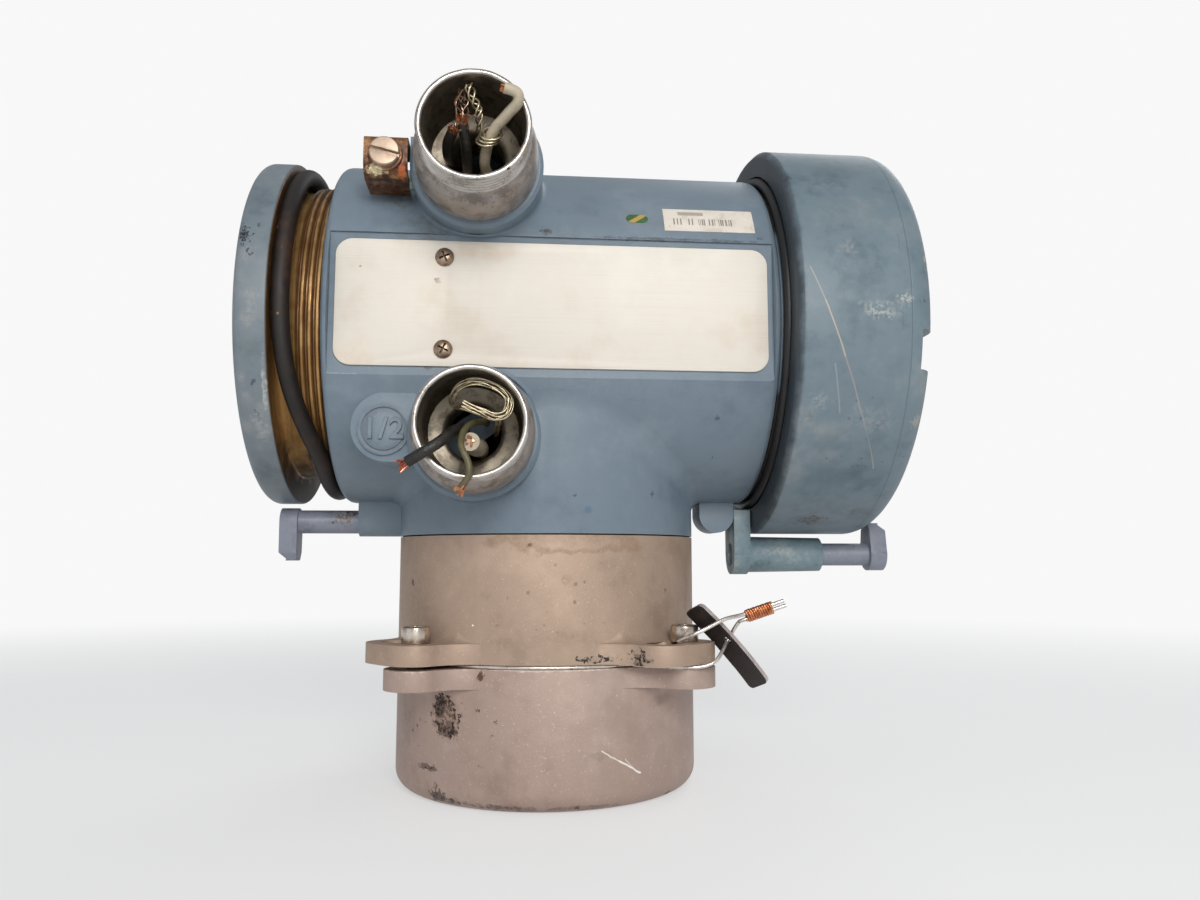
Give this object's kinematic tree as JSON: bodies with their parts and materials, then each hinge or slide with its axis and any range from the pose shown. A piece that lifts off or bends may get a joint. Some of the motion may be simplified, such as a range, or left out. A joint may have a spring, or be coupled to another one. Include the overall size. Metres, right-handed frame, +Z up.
{
  "type": "coriolis flow meter transmitter",
  "caption": "Blue two-compartment field transmitter on a grey core processor housing, wiring cover part unscrewed, cut wires in its conduit fittings.",
  "frame": {"origin": "centre of the end cap's flat underside, on the neck axis", "axes": "+Z up the neck, +X along the barrel to the display end, -Y the way the conduit mouths and the nameplate face"},
  "size_m": [0.2135, 0.1591, 0.2162],
  "materials": {
    "blue_paint": "satin, chalky with scuffs",
    "lavender_paint": "satin",
    "cast_aluminium": "fine sand-cast, matt",
    "galvanised": "bright zinc, dull in places",
    "steel": "satin",
    "tarnished": "tarnished plating",
    "chromate": "satin paint on the flange, gold chromate on the thread",
    "rubber": "matt",
    "etched_plate": "fine brushed",
    "paper": "matt",
    "sticker": "matt",
    "dark_plastic": "satin",
    "grey_plastic": "satin",
    "board": "solder mask",
    "lcd": "gloss",
    "copper": "bright twisted copper",
    "glass": "clear",
    "wire_white": "satin insulation",
    "wire_black": "satin insulation",
    "wire_olive": "satin insulation",
    "tinned": "tinned strand"
  },
  "bodies": {
    "transmitter": {"main_housing": "blue_paint", "nameplate": "etched_plate", "nameplate_screws": "steel", "stock_label": "paper", "inspection_sticker": "sticker", "upper_conduit_fitting": "galvanised", "lower_conduit_fitting": "galvanised", "ground_clamp": "tarnished", "ground_screw": "steel", "display_lock_bracket": "blue_paint", "bracket_screw": "steel", "display_module": "dark_plastic", "display_lcd": "lcd", "display_screws": "steel", "processor_board": "board", "power_board": "board", "board_spacers": "steel", "compartment_feedthrough": "dark_plastic", "signal_terminals": "grey_plastic", "power_terminals": "dark_plastic", "terminal_screws": "steel", "core_housing": "cast_aluminium", "core_processor": "grey_plastic", "core_processor_screws": "steel", "core_connector": "board", "core_lead": "dark_plastic", "neck_screws": "steel", "neck_o_ring": "rubber", "flange_o_ring": "rubber", "end_cap": "cast_aluminium", "cap_screws": "steel", "seal_wire": "tinned", "seal_crimp": "copper", "seal_tag": "dark_plastic", "upper_white_wire": "wire_white", "upper_black_wires": "wire_black", "upper_drain_wires": "tinned", "lower_white_wire": "wire_white", "lower_black_wire": "wire_black", "lower_olive_wire": "wire_olive", "lower_drain_wires": "tinned"},
    "loose_ring": {"wiring_cover_o_ring": "rubber"},
    "wiring_cover": {"wiring_cover": "chromate"},
    "display_ring": {"display_cover_o_ring": "rubber"},
    "display_cover": {"display_cover": "blue_paint", "display_window": "glass", "window_gasket": "rubber", "window_ring": "steel"},
    "wiring_lock": {"wiring_cover_lock_screw": "lavender_paint"},
    "display_lock": {"display_cover_lock_screw": "lavender_paint"}
  },
  "joints": [
    {"name": "wiring_cover_travel", "type": "slide", "parent": "transmitter", "child": "loose_ring", "axis": [-1, 0, 0], "range_m": [0, 0.0121]},
    {"name": "wiring_cover_turn", "type": "hinge", "parent": "loose_ring", "child": "wiring_cover", "pos_m": [-0.083, 0, 0.149], "axis": [-1, 0, 0], "range_deg": [0, 1880]},
    {"name": "display_cover_travel", "type": "slide", "parent": "transmitter", "child": "display_ring", "axis": [1, 0, 0], "range_m": [0, 0.00058]},
    {"name": "display_cover_turn", "type": "hinge", "parent": "display_ring", "child": "display_cover", "pos_m": [0.0703, 0, 0.149], "axis": [1, 0, 0], "range_deg": [0, 90]},
    {"name": "wiring_lock_turn", "type": "hinge", "parent": "transmitter", "child": "wiring_lock", "pos_m": [-0.0836, 0, 0.0855], "axis": [-1, 0, 0], "range_deg": [-90, 90]},
    {"name": "display_lock_turn", "type": "hinge", "parent": "transmitter", "child": "display_lock", "pos_m": [0.1132, 0, 0.0746], "axis": [1, 0, 0], "range_deg": [-180, 180]}
  ],
  "couplings": [
    {"joint": "wiring_cover_travel", "follows": "wiring_cover_turn", "m_per_rad": 0.00036606},
    {"joint": "display_cover_travel", "follows": "display_cover_turn", "m_per_rad": 0.00036606}
  ]
}
